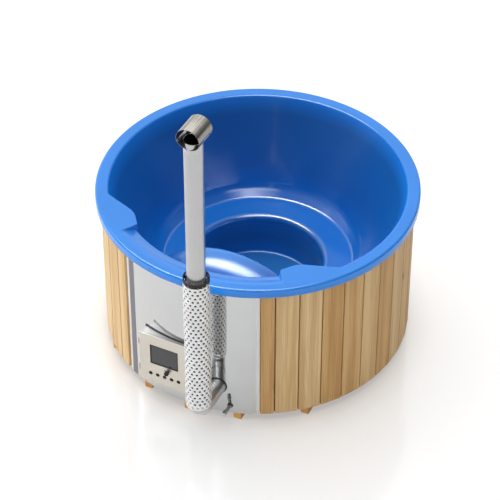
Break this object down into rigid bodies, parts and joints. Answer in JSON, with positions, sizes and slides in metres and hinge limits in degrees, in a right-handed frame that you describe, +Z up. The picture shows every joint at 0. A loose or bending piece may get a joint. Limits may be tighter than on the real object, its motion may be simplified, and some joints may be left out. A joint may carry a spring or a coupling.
{
  "type": "wood-fired hot tub",
  "caption": "Round wood-clad hot tub with a glossy moulded shell, a built-in stove behind a steel front, a guarded chimney with a rain cap, and a drain.",
  "frame": {"origin": "on the tub's upright axis, on the floor under the middle skid", "axes": "+Z up, -Y towards the stove door and chimney, +X to the right seen from the front"},
  "size_m": [1.8, 2.0388, 2.164],
  "materials": {
    "shell_gelcoat": "glossy moulded blue",
    "cladding_wood": "oiled softwood",
    "frame_wood": "planed softwood",
    "skid_wood": "sawn softwood",
    "panel_steel": "polished stainless sheet",
    "door_steel": "satin stainless sheet",
    "stove_steel": "brushed stainless",
    "flue_steel": "satin stainless tube",
    "guard_steel": "perforated stainless",
    "cap_steel": "polished stainless",
    "fitting_metal": "plated fitting",
    "seal_rubber": "black rubber",
    "seal_rope": "graphite glass rope",
    "stove_glass": "smoked ceramic glass",
    "black_plastic": "black bakelite",
    "grate_iron": "raw casting",
    "pipe_plastic": "grey waste pipe"
  },
  "bodies": {
    "tub": {"tub_shell": "shell_gelcoat", "cladding_boards": "cladding_wood", "upper_batten_ring": "frame_wood", "middle_batten_ring": "frame_wood", "base_skids": "skid_wood", "base_board": "frame_wood", "floor_supports": "frame_wood", "steel_panel": "panel_steel", "stove_jacket": "stove_steel", "firebox": "stove_steel", "stove_legs": "stove_steel", "stove_collar": "stove_steel", "collar_seal": "seal_rubber", "fire_grate": "grate_iron", "hinge_brackets": "stove_steel", "hinge_pins": "fitting_metal", "latch_keeper": "stove_steel", "smoke_duct": "flue_steel", "flue_seal": "seal_rubber", "flue_elbow": "flue_steel", "chimney_pipe": "flue_steel", "heat_guard": "guard_steel", "guard_spacers": "guard_steel", "cap_saddle": "cap_steel", "rain_cap": "cap_steel", "cap_tabs": "cap_steel", "drain_nipple": "fitting_metal", "drain_seal": "seal_rubber", "drain_pipe": "pipe_plastic", "floor_drain": "pipe_plastic", "drain_strainer": "fitting_metal", "port_grilles": "pipe_plastic", "cold_water_pipe": "stove_steel", "hot_water_pipe": "stove_steel"},
    "door": {"stove_door": "door_steel", "window_seal": "seal_rope", "door_glass": "stove_glass", "glass_retainer": "stove_steel", "door_rope": "seal_rope", "damper_guides": "stove_steel", "door_knuckles": "door_steel"},
    "latch": {"latch_handle": "fitting_metal", "latch_grip": "black_plastic", "latch_cam": "stove_steel"},
    "damper": {"air_damper": "grate_iron", "damper_knob": "black_plastic"},
    "screw_cap": {"drain_cap": "fitting_metal"}
  },
  "joints": [
    {"name": "door_hinge", "type": "hinge", "parent": "tub", "child": "door", "pos_m": [-0.284, -0.887, 0.32], "axis": [0, 0, -1], "range_deg": [0, 100]},
    {"name": "latch_turn", "type": "hinge", "parent": "tub", "child": "latch", "pos_m": [0.038, -0.905, 0.321], "axis": [0, -1, 0], "range_deg": [0, 90]},
    {"name": "damper_slide", "type": "slide", "parent": "door", "child": "damper", "axis": [-1, 0, 0], "range_m": [0, 0.0215]},
    {"name": "screw_cap_turn", "type": "hinge", "parent": "tub", "child": "screw_cap", "pos_m": [0.245, -0.905, 0.103], "axis": [0, -1, 0], "continuous": true}
  ]
}
